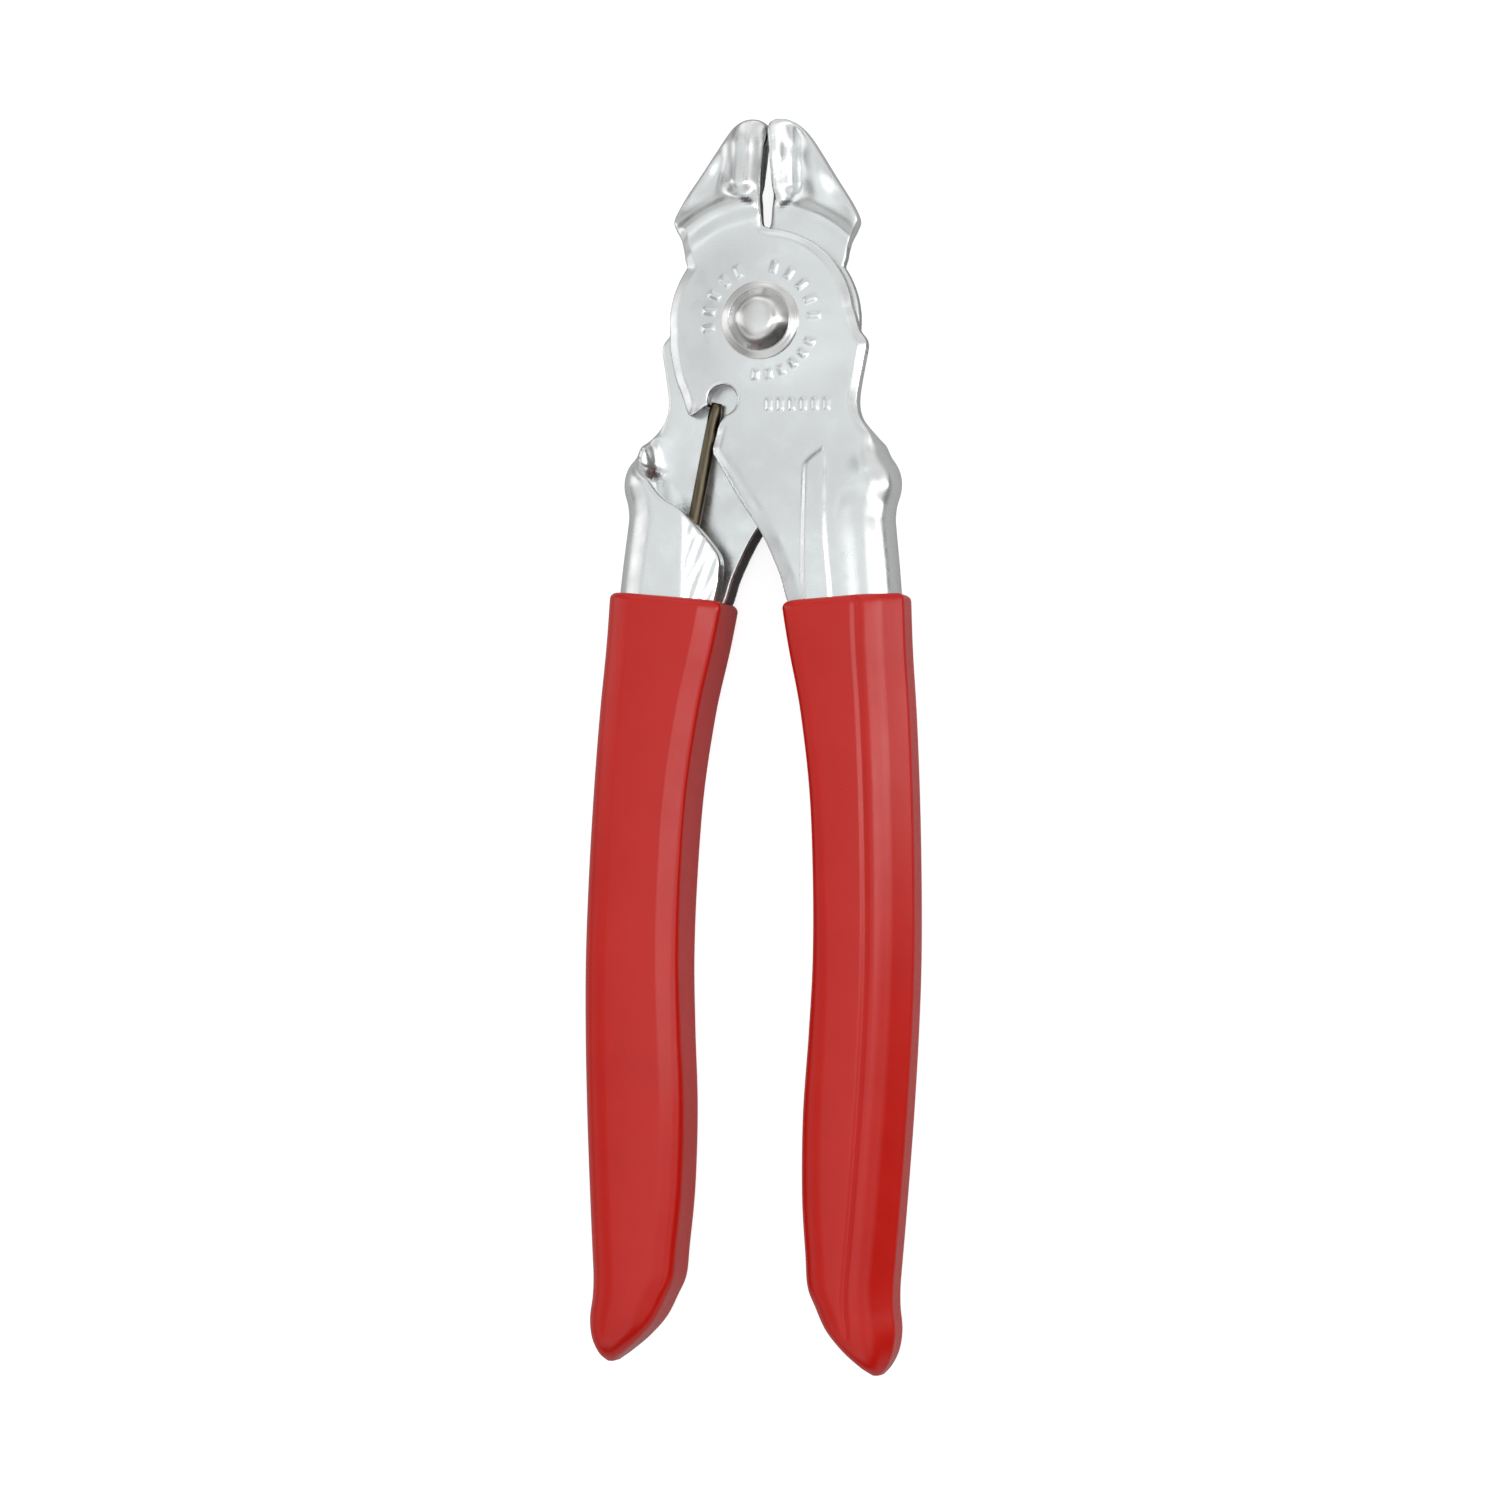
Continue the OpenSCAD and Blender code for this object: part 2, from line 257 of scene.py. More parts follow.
def soft_min(a, b, k):
    """Union of two distances with a fillet of about k."""
    blend = np.maximum(k - np.abs(a - b), 0) / np.maximum(k, 1e-6)
    return np.minimum(a, b) - blend * blend * k / 4


# ---------------------------------------------------------------- levers

def bow_x(y):
    return HANDLE_X - HANDLE_BOW + math.sqrt(HANDLE_BOW ** 2 - (y - HANDLE_MID_Y) ** 2)


def lens_x(y):
    return LENS_R - LENS_DEPTH - TIP_GAP - math.sqrt(LENS_R ** 2 - (y - LENS_Y) ** 2)


def face_outline():
    lens = [(min(lens_x(y), -TIP_GAP), y) for y in np.linspace(29.4, 14.9, 30)]
    return np.vstack([
        lens, [(-.1, 14.55)], arc((0, 0), DISC_R, 86, 8, 40), smooth_path(OUTER_EDGE),
        [(40, -22), (40, -170), (12, -170)], smooth_path(INNER_EDGE), smooth_path(CORNER_EDGE),
        arc(NOTCH, NOTCH_R, -75, 200), smooth_path(TAIL_EDGE), arc((0, 0), DISC_R + .5, 186, 145, 12),
        smooth_path(JAW_EDGE)])


def flange_outline():
    return np.vstack([[(40, -22.5)], smooth_path(FLANGE_EDGE), [(12, -170), (40, -170)]])


def fold_line():
    bow = [(bow_x(y) - FOLD_R, y) for y in range(-30, -171, -8)]
    return np.vstack([arc(SHOULDER, SHOULDER_R, 130, -22), [(16.45, -26.9), (16.25, -28.2)], bow])


def jaw_height(x, y):
    """How far the jaw's sheet leaves the level of the plate."""
    r = np.hypot(x, y)
    rim = np.abs(along_path(x, y, smooth_path(JAW_EDGE))[0])
    ridge = RIDGE_H * bell((r - RIDGE_R) / 1.5) * ease((y - 9) / 4)
    drop = NEAR_DROP * ease((r - RIDGE_R) / 2.2) + FAR_DROP * ease((r - RIDGE_R) / 8)
    curl = CURL_H * bell(rim / 1.8) * ease((y - 16) / 4) * ease((29 - y) / 5)
    bulge = BULGE_H * bell((x - BULGE_X) / BULGE_W) * ease((y - BULGE_Y) / 3.2) * ease((33 - y) / 6)
    lip = LIP_H * bell(x / 1.6) * ease((y - 15) / 4)
    hollow = HOLLOW_H * bell((x - HOLLOW_AT[0]) / 2.2, (y - HOLLOW_AT[1]) / 4)
    return np.where((y > 8) & (x < 3), ridge - drop + curl + bulge - hollow - lip, 0)


def face_height(x, y):
    """Height of the middle of the plain sheet on the face side."""
    return PLATE_Z + (FACE_Z - PLATE_Z) * ease((-14 - y) / 19) + jaw_height(x, y)


def bar_distance(x, y):
    """Distance to the nearest plain stamped bar."""
    r, a = np.hypot(x, y), np.degrees(np.arctan2(y, x))
    best = np.maximum(np.abs(x[..., None] - np.array(BAR_ROW)).min(axis=-1) - BAR_HALF_W,
                      np.abs(y - BAR_ROW_Y) - 0.85)
    for radius, half, angles in BAR_RINGS:
        off = np.abs((a[..., None] - np.array(angles) + 180) % 360 - 180).min(axis=-1)
        best = np.minimum(best, np.maximum(np.radians(off) * r - BAR_HALF_W, np.abs(r - radius) - half))
    return best


def face_relief(x, y, outline, inner):
    """How far the outer surface stands above the plain sheet: dome, rib, bars, rolled rim and coined edge."""
    r = np.hypot(x, y)
    to_ridge = ease((r - 15.2) / 2.5) * ease((y - 6) / 4)
    dome = DOME_H * ease((r - 5) / 10) * ease((y + 16) / 10) * (1 - to_ridge)
    rib = RIB_H * ease(0.5 - outline_distance(x, y, smooth_path(RIB_EDGE, 3)) / 0.6)
    bars = BAR_H * ease(0.5 - bar_distance(x, y) / 0.5)
    coined = COIN_H * ease(1 - inner / COIN_W) * ease((-19 - y) / 5)
    off_notch = ease((np.hypot(x - NOTCH[0], y - NOTCH[1]) - NOTCH_R - 1) / 2)
    rolled = ROLL_H * ease(1 + outline / ROLL_W) * ease((y + 24) / 6) * ease((15.5 - y) / 2) * off_notch
    return rib + bars - dome - coined - rolled


def soften(field, low, high, passes):
    """Blur the field inside a box, fading out towards the box's sides."""
    part = field[tuple(slice(max(round((a - c) / VOXEL), 0), max(round((b - c) / VOXEL), 0))
                       for a, b, c in zip(low, high, GRID_LOW))]
    blurred, weight = part.copy(), 1
    for axis, n in enumerate(part.shape):
        at = np.arange(n) * VOXEL
        side = ease(np.minimum(at, n * VOXEL - at) / SOFT_FADE) if axis < 2 else np.ones(n)
        weight = weight * side.reshape([-1 if i == axis else 1 for i in range(3)])
    for _ in range(passes):
        for axis in range(3):
            flat = np.moveaxis(blurred, axis, 0)
            flat[1:-1] = (flat[:-2] + 2 * flat[1:-1] + flat[2:]) / 4
    part += (blurred - part) * weight


def around_fold(z, past, front_c, back_c, fold_mid):
    """Distance to the middle of the folded sheet, and how far round the fold each point is, in degrees."""
    high, low = z > front_c, z < back_c
    around_front = np.abs(np.hypot(past, z - front_c) - fold_mid)
    around_back = np.abs(np.hypot(past, z - back_c) - fold_mid)
    bend = np.where(high, around_front, np.where(low, around_back, np.abs(past - fold_mid)))
    reach = np.maximum(past, 1e-6)
    turn = np.where(high, np.degrees(np.arctan2(reach, np.maximum(z - front_c, 0))),
                    90 + np.degrees(np.arctan2(np.maximum(back_c - z, 0), reach)))
    return bend, turn


def keep_bare_and_shade(skin, x, y, inner):
    """Keep the skin's depth only where bare steel and painted shade show; elsewhere the plating wraps the
    edges.
    """
    # The jaw's parting wall and groove stay partly dark: bare steel, and painted shade for the shadow in the
    # slit
    parting = (y > 14.6) & (x > -3.5)
    skin[parting] = np.maximum(skin[parting], -0.36)
    # The notch's pierced wall stays fully dark: bare steel, and painted shade for the deep shadow inside the
    # notch
    pierced = np.hypot(x + 7, y + 12.8) < 4.6
    # The plate's cut walls stay half dark: rough shear, and painted shade for the shadow gap along the disc's
    # edge
    plate = (np.hypot(x, y) < 17) & (y > -14.5) & ~pierced & ~parting
    skin[plate] = np.maximum(skin[plate], -0.3)
    # Away from the inner edge the walls turn plated; along it they stay dark: bare steel, and painted shade
    # for the dark reflection of the gap between the handles
    skin[(inner > 2) & ~parting & ~pierced & ~plate] = 0
    # Painted shade: a dark patch in the corner under the jaw's bulge, where the sheet falls into shadow
    corner_painted_shade = 0.6 * bell((x + 2.6) / 1.3, (y - 18.4 + 0.3 * (x + 2.6)) / 0.65)
    return np.minimum(skin, -corner_painted_shade[:, :, None])


def lever_field():
    """Signed distance to the front lever on a grid, and the depth below its sheet's skin."""
    xs, ys, zs = (np.arange(low, high, VOXEL) for low, high in zip(GRID_LOW, GRID_HIGH))
    x, y = np.meshgrid(xs, ys, indexing="ij")
    past, along = along_path(x, y, fold_line())
    turned = past >= 0
    # The face dips a little before it turns into the fold
    face = face_height(x, y) - DROOP_H * ease(1 + past / 3.6) * ease((along - 3) / 4)
    slope_x, slope_y = np.gradient(face, VOXEL)
    lean = 1 / np.sqrt(1 + slope_x ** 2 + slope_y ** 2)
    outline = outline_distance(x, y, face_outline())
    inner = np.abs(along_path(x, y, smooth_path(INNER_EDGE))[0])
    relief = face_relief(x, y, outline, inner)
    flange = outline_distance(x, y, flange_outline())
    fold_mid = np.minimum(FOLD_MID_R, (face + FACE_Z) / 2)
    front_c, back_c = face - fold_mid, fold_mid - FACE_Z
    # Above the shoulder the fold opens out until the sheet is flat
    opening = fold_mid / np.maximum(ease((along - 1.5) / 1.2), 0.005)
    opens = turned & (along > 1.5)
    corner = 1.2 * ease((2.9 - along) / 0.6)
    hammered = 0.025 * (np.sin(2.9 * x + 0.5 * y) + np.sin(1.3 * x - 0.9 * y + 1)
                        + np.sin(4.1 * x + 1.7 * y)) * ease((11 - x) / 1.5)
    lip = -FACE_Z + 0.25 * np.maximum(LIP_SLOPE_X - x, 0) + hammered
    edge_r = np.where(inner < 2, 0.12, 0.3)
    # The shear-cut inner edge is slanted, so it shows from the inside of the handle
    undercut = UNDERCUT * ease((3 - inner) / 2) * ease((-26 - y) / 6)
    run = math.dist(SLANT_A, SLANT_B)
    slant = ((SLANT_B[0] - SLANT_A[0]) / run, (SLANT_B[1] - SLANT_A[1]) / run)
    past_end = (x - SLANT_A[0]) * slant[1] - (y - SLANT_A[1]) * slant[0]
    hole = BORE_R - np.hypot(x, y)
    from_lens = np.hypot(x - (LENS_R - LENS_DEPTH - TIP_GAP), y - LENS_Y) - LENS_R
    grooved = (y > 18.4) & (y < 27.5)
    shape = (len(xs), len(ys), len(zs))
    field, skin = np.empty(shape, np.float32), np.empty(shape, np.float32)
    for k, z in enumerate(zs):
        bend, turn = around_fold(z, past, front_c, back_c, fold_mid)
        start = np.interp(turn, [0, 60, 90, 135, 180], [1.4, 2.0, 2.3, 2.75, 3.25])
        sheet = np.abs(z - face - relief / 2) * lean - relief / 2 - HALF_T
        opened = np.abs(np.hypot(past, z - face + opening) - opening) - HALF_T
        opened = np.where(z > face - opening, opened, FAR)
        fold = np.where(turned, bend, FAR) - HALF_T
        back = np.where(turned, FAR, np.abs(z - lip)) - HALF_T
        front = np.where(opens, opened, sheet)
        skin[:, :, k] = np.minimum(np.minimum(front, np.where(along > start - 0.3, fold, FAR)), back)
        edge = outline + undercut * np.clip((face + HALF_T - z) / SHEET_T, 0, 1)
        d = soft_min(round_max(front, edge, edge_r), round_max(fold, start - along, 0.3), corner)
        d = np.minimum(d, round_max(back, flange, 0.35))
        d = np.maximum(round_max(d, past_end, 0.3), hole)
        groove = np.where(grooved, GROOVE_R - np.hypot(from_lens, z), -FAR)
        field[:, :, k] = round_max(d, groove, 0.15)
    np.clip(field, -2, 2, out=field)
    for low, high, passes in SOFT_BOXES:
        soften(field, low, high, passes)
    return field, keep_bare_and_shade(skin, x, y, inner)


def field_mesh(field, skin, turned_over=False):
    """Closed mesh of the field's zero surface, in metres in the row frame, with its bare steel and painted
    shade marked.
    """
    band = 3 * VOXEL
    grid = openvdb.FloatGrid(band)
    grid.copyFromArray(np.clip(field, -band, band))
    points, triangles, quads = grid.convertToPolygons(isovalue=0.0, adaptivity=0.0)
    cell = tuple(np.rint(points).astype(int).T)
    bare_and_shade = ease((-skin[cell] - BARE_AND_SHADE_FROM) / BARE_AND_SHADE_OVER)
    points = points * VOXEL + np.array(GRID_LOW)
    if turned_over:
        points = points * np.array([-1, 1, -1])
    points[:, 2] += MID_H
    mesh = bpy.data.meshes.new("sheet")
    faces = [f[::-1] for f in triangles.tolist() + quads.tolist()]
    mesh.from_pydata((points * MM).tolist(), [], faces)
    mesh.attributes.new("bare_and_shade", "FLOAT", "POINT").data.foreach_set("value", bare_and_shade.astype(np.float32))
    mesh.update()
    return mesh


def add(name, mesh, material, slot, *nodes):
    obj = bpy.data.objects.new(name, mesh)
    bpy.context.scene.collection.objects.link(obj)
    mesh.materials.append(material)
    mesh.polygons.foreach_set("use_smooth", [True] * len(mesh.polygons))
    if nodes:
        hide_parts(*nodes)
    return obj


# ---------------------------------------------------------------- lofts and lathes

def tidy_normals(mesh):
    """Merge coincident points and turn every face outwards."""
    bm = bmesh.new()
    bm.from_mesh(mesh)
    bmesh.ops.remove_doubles(bm, verts=bm.verts, dist=1e-7)
    bmesh.ops.recalc_face_normals(bm, faces=bm.faces)
    bm.to_mesh(mesh)
    bm.free()
    mesh.update()


def loft(rings):
    """Closed tube through rings of equal length, with a face over each end."""
    n = len(rings[0])
    verts = [tuple(c * MM for c in p) for ring in rings for p in ring]
    faces = [(j * n + i, j * n + (i + 1) % n, (j + 1) * n + (i + 1) % n, (j + 1) * n + i)
             for j in range(len(rings) - 1) for i in range(n)]
    faces.append(tuple(range(n))[::-1])
    faces.append(tuple((len(rings) - 1) * n + i for i in range(n)))
    mesh = bpy.data.meshes.new("loft")
    mesh.from_pydata(verts, [], faces)
    tidy_normals(mesh)
    return mesh


def lathe(profile, turned_over=False, steps=96):
    """Closed solid of revolution about the pivot axis from a closed (r, z) profile."""
    side = -1 if turned_over else 1
    rings = []
    for i in range(steps):
        a = 2 * math.pi * i / steps
        rings.append([(r * math.cos(a), r * math.sin(a), MID_H + side * z) for r, z in profile])
    n = len(profile)
    verts = [p for ring in rings for p in ring]
    faces = []
    for i in range(steps):
        j = (i + 1) % steps
        for k in range(n):
            m = (k + 1) % n
            faces.append((i * n + k, j * n + k, j * n + m, i * n + m))
    mesh = bpy.data.meshes.new("lathe")
    mesh.from_pydata([tuple(c * MM for c in p) for p in verts], [], faces)
    tidy_normals(mesh)
    return mesh


# ---------------------------------------------------------------- materials

# Colour of bare cut steel, made darker as painted shade and dark reflection on cut walls and in gaps
BARE_STEEL_AND_SHADE = (0.16, 0.15, 0.15, 1)
RIVET_TINT = (0.86, 0.86, 0.85)
VINYL_DARK = (0.64, 0.009, 0.004)
VINYL_LIGHT = (0.69, 0.012, 0.005)
WIRE_DARK = (0.08, 0.065, 0.045)
WIRE_LIGHT = (0.21, 0.175, 0.12)


def new_material(name):
    mat = bpy.data.materials.new(name)
    mat.use_nodes = True
    nodes, links = mat.node_tree.nodes, mat.node_tree.links
    return mat, nodes, links, nodes["Principled BSDF"]


def noise(nodes, links, coords, scale, detail=4, rough=0.5, stretch=None):
    tex = nodes.new("ShaderNodeTexNoise")
    tex.inputs["Scale"].default_value = scale
    tex.inputs["Detail"].default_value = detail
    tex.inputs["Roughness"].default_value = rough
    if stretch:
        mapping = nodes.new("ShaderNodeMapping")
        mapping.inputs["Scale"].default_value = stretch
        links.new(coords, mapping.inputs["Vector"])
        coords = mapping.outputs["Vector"]
    links.new(coords, tex.inputs["Vector"])
    return tex.outputs["Fac"]


def ramp(nodes, links, value, stops):
    node = nodes.new("ShaderNodeValToRGB")
    elements = node.color_ramp.elements
    while len(elements) < len(stops):
        elements.new(0.5)
    for element, (at, colour) in zip(elements, stops):
        element.position = at
        element.color = (*colour, 1) if len(colour) == 3 else colour
    links.new(value, node.inputs["Fac"])
    return node.outputs["Color"]


def grey(v):
    return (v, v, v)


def bumped(nodes, links, height, strength, distance, under=None):
    """Normal from a height; a finer bump can sit on a coarser one."""
    bump = nodes.new("ShaderNodeBump")
    bump.inputs["Strength"].default_value = strength
    bump.inputs["Distance"].default_value = distance
    links.new(height, bump.inputs["Height"])
    if under:
        links.new(under, bump.inputs["Normal"])
    return bump.outputs["Normal"]


def times(nodes, links, a, b):
    """Product of two colours."""
    mix = nodes.new("ShaderNodeMix")
    mix.data_type = "RGBA"
    mix.blend_type = "MULTIPLY"
    mix.inputs["Factor"].default_value = 1.0
    links.new(a, mix.inputs["A"])
    links.new(b, mix.inputs["B"])
    return mix.outputs["Result"]


def scaled(nodes, links, value, factor, plus=0.0):
    """value * factor + plus, where plus is a number or a socket."""
    node = nodes.new("ShaderNodeMath")
    node.operation = "MULTIPLY_ADD"
    links.new(value, node.inputs[0])
    node.inputs[1].default_value = factor
    if isinstance(plus, float):
        node.inputs[2].default_value = plus
    else:
        links.new(plus, node.inputs[2])
    return node.outputs[0]


def plated_steel(name, tint=(0.92, 0.935, 0.94), rough=0.27):
    """Bright plating with faint cloudiness and waves, and a dark colour for bare steel and painted shade
    where the mesh marks it.
    """
    mat, nodes, links, shader = new_material(name)
    shader.inputs["Metallic"].default_value = 1.0
    coords = nodes.new("ShaderNodeTexCoord").outputs["Object"]
    cloud = noise(nodes, links, coords, 260, 5)
    colour = ramp(nodes, links, cloud, [(0.25, tuple(c * 0.97 for c in tint)), (0.7, tint)])
    bare_and_shade = nodes.new("ShaderNodeAttribute")
    bare_and_shade.attribute_name = "bare_and_shade"
    mix = nodes.new("ShaderNodeMix")
    mix.data_type = "RGBA"
    mix.inputs["B"].default_value = BARE_STEEL_AND_SHADE
    links.new(bare_and_shade.outputs["Fac"], mix.inputs["Factor"])
    links.new(colour, mix.inputs["A"])
    links.new(mix.outputs["Result"], shader.inputs["Base Color"])
    haze = noise(nodes, links, coords, 300, 3)
    roughness = ramp(nodes, links, haze, [(0.3, grey(rough * 0.75)), (0.75, grey(rough * 1.45))])
    links.new(roughness, shader.inputs["Roughness"])
    waves = bumped(nodes, links, haze, 0.015, 0.0002)
    grain = noise(nodes, links, coords, 5200, 2)
    links.new(bumped(nodes, links, grain, 0.008, 0.00002, waves), shader.inputs["Normal"])
    return mat


def vinyl():
    """Glossy red dip, slightly uneven in tone, gloss and surface."""
    mat, nodes, links, shader = new_material("red_vinyl")
    coords = nodes.new("ShaderNodeTexCoord").outputs["Object"]
    cloud = noise(nodes, links, coords, 90)
    colour = ramp(nodes, links, cloud, [(0.3, VINYL_DARK), (0.7, VINYL_LIGHT)])
    links.new(colour, shader.inputs["Base Color"])
    haze = noise(nodes, links, coords, 300)
    links.new(ramp(nodes, links, haze, [(0.3, grey(0.22)), (0.8, grey(0.28))]), shader.inputs["Roughness"])
    shader.inputs["Subsurface Weight"].default_value = 0.08
    shader.inputs["Subsurface Radius"].default_value = (0.004, 0.001, 0.0008)
    dips = noise(nodes, links, coords, 110, 2)
    links.new(bumped(nodes, links, dips, 0.05, 0.0002), shader.inputs["Normal"])
    return mat


def spring_steel():
    """Oil-darkened wire with fine drawing lines along it."""
    mat, nodes, links, shader = new_material("spring_steel")
    shader.inputs["Metallic"].default_value = 1.0
    coords = nodes.new("ShaderNodeTexCoord").outputs["Object"]
    draw = noise(nodes, links, coords, 900, 5, 0.6, (1, 0.08, 1))
    links.new(ramp(nodes, links, draw, [(0.3, WIRE_DARK), (0.7, WIRE_LIGHT)]), shader.inputs["Base Color"])
    links.new(ramp(nodes, links, draw, [(0.3, grey(0.28)), (0.7, grey(0.42))]), shader.inputs["Roughness"])
    links.new(bumped(nodes, links, draw, 0.15, 0.00005), shader.inputs["Normal"])
    return mat


STEEL = plated_steel("plated_steel")
RIVET = plated_steel("rivet_steel", RIVET_TINT, 0.22)
VINYL = vinyl()
WIRE = spring_steel()


# ---------------------------------------------------------------- pieces

def make_levers():
    field, skin = lever_field()
    for side, turned_over in [("front", False), ("rear", True)]:
        mesh = field_mesh(field, skin, turned_over)
        lever = add(f"{side}_lever_sheet", mesh, STEEL, "plated_steel", f"{side}_lever")
        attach(lever, f"{side}_body")


def rounded_ring(corners, steps=8):
    """Closed outline through corners (x, z, radius), each corner rounded and each side divided evenly."""
    n = len(corners)
    points = [np.array(c[:2], float) for c in corners]
    ends = []
    for i, (_, _, r) in enumerate(corners):
        back, on = points[i - 1] - points[i], points[(i + 1) % n] - points[i]
        back_len, on_len = np.hypot(*back), np.hypot(*on)
        half_angle = math.acos(max(-1, min(1, back.dot(on) / (back_len * on_len)))) / 2
        reach = min(r / math.tan(half_angle), 0.49 * back_len, 0.49 * on_len)
        ends.append((points[i] + back / back_len * reach, points[i] + on / on_len * reach))
    ring = []
    for i in range(n):
        a, b, c = ends[i][0], points[i], ends[i][1]
        ring += [(1 - t) ** 2 * a + 2 * t * (1 - t) * b + t * t * c for t in np.linspace(0, 1, steps + 1)]
        following = ends[(i + 1) % n][0]
        ring += [c + (following - c) * t for t in np.linspace(0, 1, 4 * steps + 1)[1:-1]]
    return ring


def grip_ring(y, inner, outer, half, inset=0.0):
    """Section of the front lever's grip: a sloping outer shoulder, and a bevel over the flange's edge."""
    width = outer - inner
    soft = float(ease((-70 - y) / 55))
    drop = min(GRIP_BEVEL_H + 0.3 * soft, half * 0.35)
    bevel = min(GRIP_BEVEL, width * 0.3)
    corners = [
        (outer - 0.2 - inset, half * 0.36, GRIP_EDGE_R),
        (outer - min(GRIP_SLOPE, width * 0.4) - inset, half - inset, GRIP_SLOPE_R),
        (inner + inset, half - inset, min(GRIP_INNER_R + 1.6 * soft, half * 0.6)),
        (inner + 0.3 + inset, drop - half + inset, GRIP_EDGE_R + 1.2 * soft),
        (inner + bevel, inset - half, GRIP_RIDGE_R + 3 * soft),
        (outer - inset, inset - half, min(GRIP_OUTER_R, half * 0.95, width * 0.6))]
    ring = []
    for px, pz in rounded_ring(corners):
        crease = GRIP_CREASE * math.exp(-((px - outer + 6.9) / 0.45) ** 2) if pz > half * 0.9 else 0
        crown = 1 - GRIP_CROWN * ((2 * px - inner - outer) / width) ** 2
        slant = GRIP_RIM_SLANT * (outer - px) / width * ease((y + 60) / 17)
        ring.append((px, y - slant, pz * crown - crease * ease((half - 5.4) / 0.8)))
    return ring


def make_grip(name, side, node, body):
    y, inner, outer, half = GRIP_STATIONS[0]
    rings = [grip_ring(y + GRIP_RIM_R * math.cos(a), inner, outer, half, GRIP_RIM_R * (1 - math.sin(a)))
             for a in np.radians(range(0, 90, 15))]
    rings += [grip_ring(y, inner, outer, min(half, MID_H))
              for y, inner, outer, half in smooth_path(GRIP_STATIONS, 8)]
    mesh = loft([[(side * px, py, MID_H + side * pz) for px, py, pz in ring] for ring in rings])
    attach(add(name, mesh, VINYL, "red_vinyl", node), body)


def make_rivet():
    """Two crowned heads with a conical flank, over one shank."""
    radii = [HEAD_R * i / 28 for i in range(29)]
    crown = [(r, HEAD_TOP - 0.022 * r ** 2 - 0.33 * math.log(1 + math.exp((r - HEAD_FLANK_R) / 0.35)))
             for r in radii]
    half = crown + [(HEAD_R + 0.04, 4.0), (HEAD_R, 3.95), (SHANK_R, 3.93), (SHANK_R, 0)]
    closed = half + [(r, -z) for r, z in reversed(half[:-1])]
    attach(add("rivet", lathe(closed), RIVET, "rivet_steel", "pivot_rivet"), "rear_body")


def make_washers():
    """Thin washers with a rounded lower edge and a stepped upper one."""
    lo, hi, r, e = WASHER_LOW, WASHER_HIGH, WASHER_R, WASHER_EDGE_R
    inner = SHANK_R + 0.05
    ring = [(inner, lo), (r - e, lo)]
    ring += [(r - e + e * math.sin(a), lo + e - e * math.cos(a)) for a in np.radians(range(15, 91, 15))]
    ring += [(r - 0.04 * k, lo + e + 0.12 * math.sin(k)) for k in (0.4, 0.9, 1.5)]
    ring += [(r - 0.25, lo + 0.4), (r - 0.6, lo + 0.53), (r - 0.95, hi - 0.04), (r - 1.15, hi), (inner, hi)]
    for side, turned_over in [("front", False), ("rear", True)]:
        washer = add(f"{side}_ring", lathe(ring, turned_over), RIVET, "rivet_steel", f"{side}_washer")
        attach(washer, "rear_body")


def make_spring():
    """One length of wire in a slight bow, its ends slightly rounded."""
    top, end = Vector(WIRE_TOP), Vector(WIRE_END)
    lift = Vector((0, 0, MID_H))
    run = end - top
    across = Vector((run.y, -run.x, 0)).normalized()
    rings = []
    sides, steps = 24, 120
    for i in range(steps + 1):
        t = i / steps
        centre = top + run * t + across * WIRE_SAG * 4 * t * (1 - t) + lift
        tangent = (run + across * WIRE_SAG * 4 * (1 - 2 * t)).normalized()
        u = tangent.cross(Vector((0, 0, 1))).normalized()
        v = u.cross(tangent)
        r = WIRE_R * min(1, 0.8 + i * 0.1, 0.8 + (steps - i) * 0.1)
        angles = [2 * math.pi * k / sides for k in range(sides)]
        rings.append([tuple(centre + (u * math.cos(a) + v * math.sin(a)) * r) for a in angles])
    wire = add("spring_wire", loft(rings), WIRE, "spring_steel", "return_spring")
    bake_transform(wire)


make_levers()
make_grip("right_grip_dip", 1, "right_grip", "front_body")
make_grip("left_grip_dip", -1, "left_grip", "rear_body")
make_rivet()
make_washers()
make_spring()


# ---------------------------------------------------------------- floor, lights and camera

FLOOR_GLOW = 0.8
LIGHTS_AIM = (0, -0.06, 0)
CAMERA_DISTANCE = 550
VIEW_W = 228.17


def make_floor():
    """Grey floor that lights the object softly, with a glow that only the camera sees to keep it pale."""
    mesh = bpy.data.meshes.new("floor")
    s = 3.0
    mesh.from_pydata([(-s, -s, 0), (s, -s, 0), (s, s, 0), (-s, s, 0)], [], [(0, 1, 2, 3)])
    floor = bpy.data.objects.new("floor", mesh)
    bpy.context.scene.collection.objects.link(floor)
    mat, nodes, links, shader = new_material("floor_white")
    shader.inputs["Base Color"].default_value = (0.55, 0.55, 0.55, 1)
    shader.inputs["Roughness"].default_value = 0.9
    shader.inputs["Emission Color"].default_value = (1, 1, 1, 1)
    seen = nodes.new("ShaderNodeLightPath").outputs["Is Camera Ray"]
    links.new(scaled(nodes, links, seen, FLOOR_GLOW), shader.inputs["Emission Strength"])
    mesh.materials.append(mat)


def area_light(name, at, size, power):
    """Soft rectangular light aimed at the middle of the object."""
    data = bpy.data.lights.new(name, "AREA")
    data.shape = "RECTANGLE"
    data.size, data.size_y = size
    data.energy = power
    light = bpy.data.objects.new(name, data)
    light.location = at
    light.rotation_mode = "QUATERNION"
    light.rotation_quaternion = (Vector(LIGHTS_AIM) - Vector(at)).to_track_quat("-Z", "Y")
    bpy.context.scene.collection.objects.link(light)


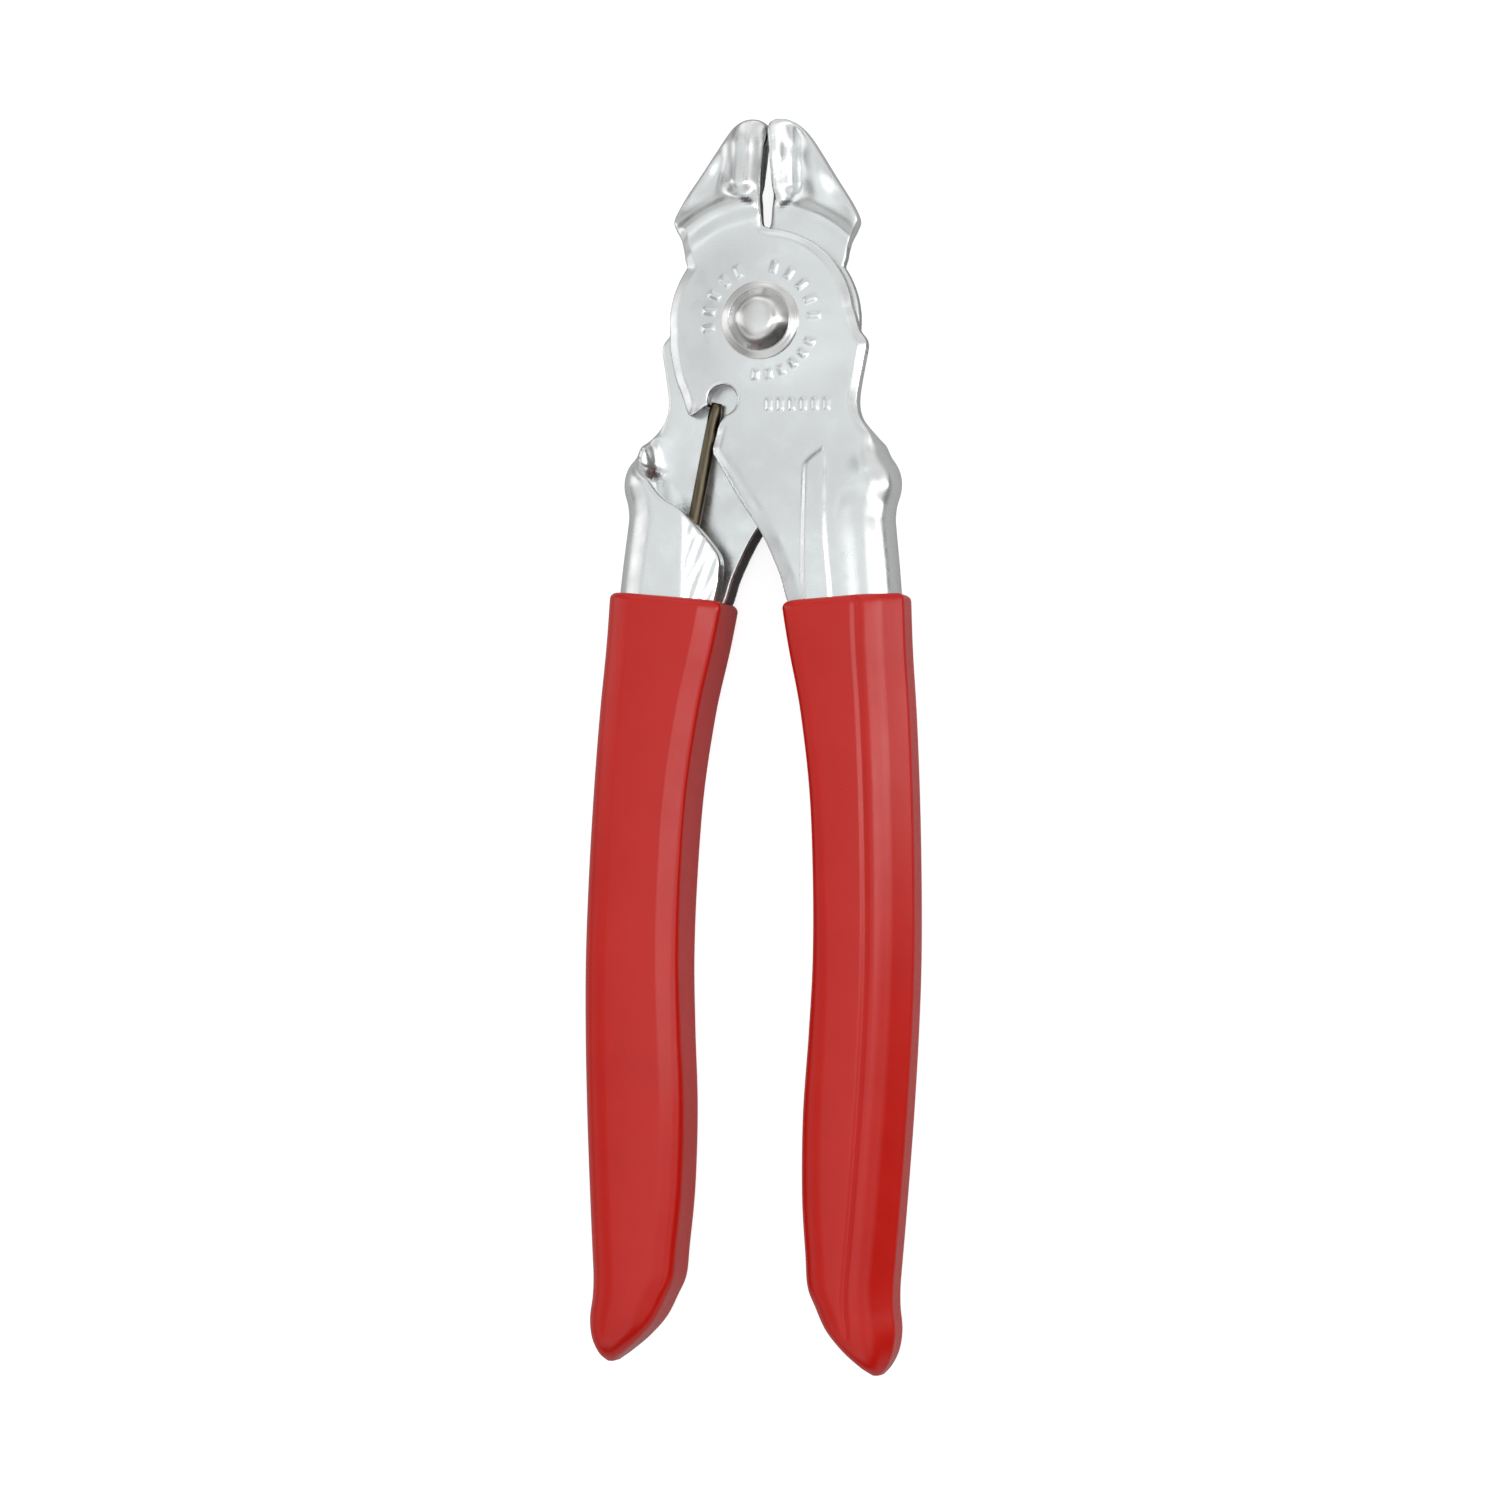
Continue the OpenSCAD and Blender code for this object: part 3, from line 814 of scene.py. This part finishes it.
def make_world():
    """Uneven studio: a bright low band, dark on the left and low down past the right handle."""
    world = bpy.data.worlds.new("studio")
    bpy.context.scene.world = world
    world.use_nodes = True
    nodes, links = world.node_tree.nodes, world.node_tree.links
    direction = nodes.new("ShaderNodeTexCoord").outputs["Generated"]
    split = nodes.new("ShaderNodeSeparateXYZ")
    links.new(direction, split.inputs["Vector"])
    x, y, z = (split.outputs[axis] for axis in "XYZ")
    sky = ramp(nodes, links, z, [
        (0, grey(0.28)), (0.14, grey(0.4)), (0.32, grey(0.95)), (0.5, grey(0.92)), (0.7, grey(0.58)),
        (0.86, (0.60, 0.61, 0.61)), (0.96, (0.74, 0.77, 0.78)), (1, (0.76, 0.79, 0.80))])
    towards_dark = scaled(nodes, links, y, -0.8, scaled(nodes, links, z, -1.1, scaled(nodes, links, x, 0.6)))
    dark_side = ramp(nodes, links, towards_dark, [(0.05, grey(1)), (0.38, grey(0.03))])
    clutter = noise(nodes, links, direction, 2.3, 2)
    room = ramp(nodes, links, clutter, [(0.38, (0.7, 0.69, 0.67)), (0.6, grey(1.12))])
    rightwards = scaled(nodes, links, x, 0.5, 0.5)
    left_side = ramp(nodes, links, rightwards, [(0.24, grey(0.55)), (0.36, grey(1.04))])
    colour = sky
    for part in (dark_side, room, left_side):
        colour = times(nodes, links, colour, part)
    links.new(colour, nodes["Background"].inputs["Color"])
    nodes["Background"].inputs["Strength"].default_value = 1.05


def make_camera():
    """Looks down from slightly right of the pivot axis, VIEW_W of the target's plane filling the picture."""
    yaw, pitch, roll = (math.radians(a) for a in (15, 2, 1.15))
    target = Vector((-1.1, -65.26, MID_H))
    right = Vector((math.cos(yaw), 0, -math.sin(yaw)))
    back = Vector((math.sin(yaw) * math.cos(pitch), -math.sin(pitch), math.cos(yaw) * math.cos(pitch)))
    up = back.cross(right)
    right, up = right * math.cos(roll) + up * math.sin(roll), up * math.cos(roll) - right * math.sin(roll)
    data = bpy.data.cameras.new("camera")
    data.sensor_width = 36
    data.lens = data.sensor_width * CAMERA_DISTANCE / VIEW_W
    data.clip_start, data.clip_end = 0.01, 20
    camera = bpy.data.objects.new("camera", data)
    turn = Matrix((right, up, back)).transposed().to_4x4()
    camera.matrix_world = Matrix.Translation((target + back * CAMERA_DISTANCE) * MM) @ turn
    bpy.context.scene.collection.objects.link(camera)
    bpy.context.scene.camera = camera


make_floor()
make_world()
area_light("key", (-0.6, 0.1, 0.26), (0.25, 1.0), 0.55)
area_light("fill", (0.48, 0, 0.52), (0.12, 0.9), 1.1)
make_camera()
bpy.context.scene.view_settings.view_transform = "Standard"
